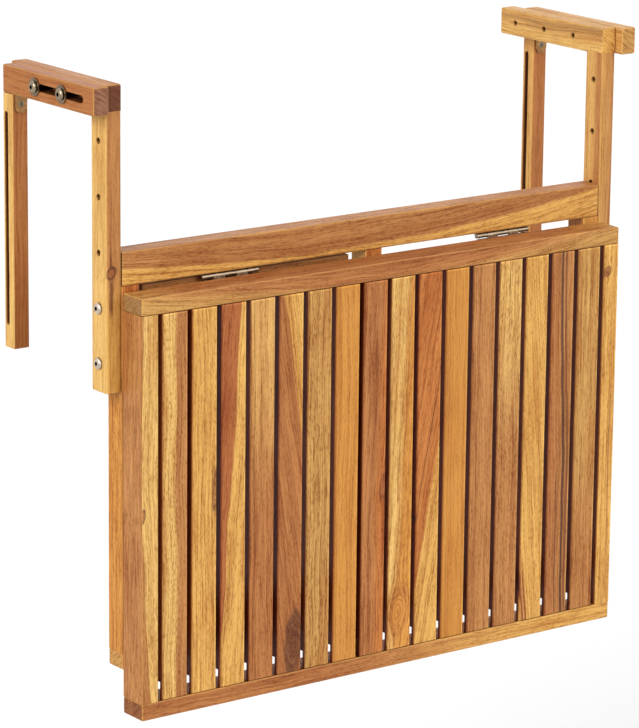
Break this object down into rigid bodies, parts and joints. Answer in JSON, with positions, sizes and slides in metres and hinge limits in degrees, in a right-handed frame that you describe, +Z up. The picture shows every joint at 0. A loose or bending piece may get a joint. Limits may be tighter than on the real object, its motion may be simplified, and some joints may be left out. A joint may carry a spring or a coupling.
{
  "type": "folding balcony table",
  "caption": "Slatted wooden balcony table that hangs on a railing by adjustable hook arms; its top folds down flat against the support frame and a swinging gate props it when raised.",
  "frame": {"origin": "mid-width, level with the arms' undersides that lie on the railing, at the rear faces of the front legs that lie against it", "axes": "+X along the railing to the right as seen from the table's side, +Y back across the railing, +Z up"},
  "size_m": [0.6824, 0.205, 0.6326],
  "materials": {
    "frame_wood": "oiled acacia, light and dark streaks",
    "slat_wood": "oiled acacia, each slat of its own shade",
    "dowel_wood": "plain beech",
    "plated_steel": "nickel-plated",
    "hinge_steel": "bright steel",
    "bracket_steel": "yellowish zinc plating",
    "insert_brass": "plain"
  },
  "bodies": {
    "frame": {"arm_brads": "plated_steel", "bottom_rail": "frame_wood", "clamp_bolts": "plated_steel", "clamp_washers": "plated_steel", "fold_hinge_frame_leaves": "hinge_steel", "fold_hinge_pins": "hinge_steel", "frame_dowels": "dowel_wood", "frame_screws": "plated_steel", "left_front_arm": "frame_wood", "left_front_leg": "frame_wood", "left_post": "frame_wood", "leg_bolts": "plated_steel", "middle_post": "frame_wood", "right_front_arm": "frame_wood", "right_front_leg": "frame_wood", "right_post": "frame_wood", "threaded_inserts": "insert_brass", "top_board": "frame_wood"},
    "table_top": {"fold_hinge_top_leaves": "hinge_steel", "gate_batten": "frame_wood", "gate_hinge_batten_leaves": "hinge_steel", "gate_hinge_pins": "hinge_steel", "hinge_rail": "frame_wood", "left_side_rail": "frame_wood", "outer_rail": "frame_wood", "right_side_rail": "frame_wood", "slat_01": "slat_wood", "slat_02": "slat_wood", "slat_03": "slat_wood", "slat_04": "slat_wood", "slat_05": "slat_wood", "slat_06": "slat_wood", "slat_07": "slat_wood", "slat_08": "slat_wood", "slat_09": "slat_wood", "slat_10": "slat_wood", "slat_11": "slat_wood", "slat_12": "slat_wood", "slat_13": "slat_wood", "slat_14": "slat_wood", "slat_15": "slat_wood", "slat_16": "slat_wood", "top_dowels": "dowel_wood", "top_screws": "plated_steel"},
    "gate": {"gate_bottom_rail": "frame_wood", "gate_dowels": "dowel_wood", "gate_foot": "frame_wood", "gate_free_stile": "frame_wood", "gate_hinge_gate_leaves": "hinge_steel", "gate_hinge_stile": "frame_wood", "gate_screws": "plated_steel", "gate_top_rail": "frame_wood"},
    "left_hook": {"left_bracket_screws": "plated_steel", "left_corner_bracket": "bracket_steel", "left_rear_arm": "frame_wood", "left_rear_leg": "frame_wood"},
    "right_hook": {"right_bracket_screws": "plated_steel", "right_corner_bracket": "bracket_steel", "right_rear_arm": "frame_wood", "right_rear_leg": "frame_wood"}
  },
  "joints": [
    {"name": "top_fold", "type": "hinge", "parent": "frame", "child": "table_top", "pos_m": [0, -0.025, -0.174], "axis": [-1, 0, 0], "range_deg": [0, 90]},
    {"name": "gate_swing", "type": "hinge", "parent": "table_top", "child": "gate", "pos_m": [-0.0185, -0.02, -0.356], "axis": [0, 0, -1], "range_deg": [0, 90]},
    {"name": "left_hook_slide", "type": "slide", "parent": "frame", "child": "left_hook", "axis": [0, 1, 0], "range_m": [-0.004, 0.034]},
    {"name": "right_hook_slide", "type": "slide", "parent": "frame", "child": "right_hook", "axis": [0, 1, 0], "range_m": [0, 0.038]}
  ]
}
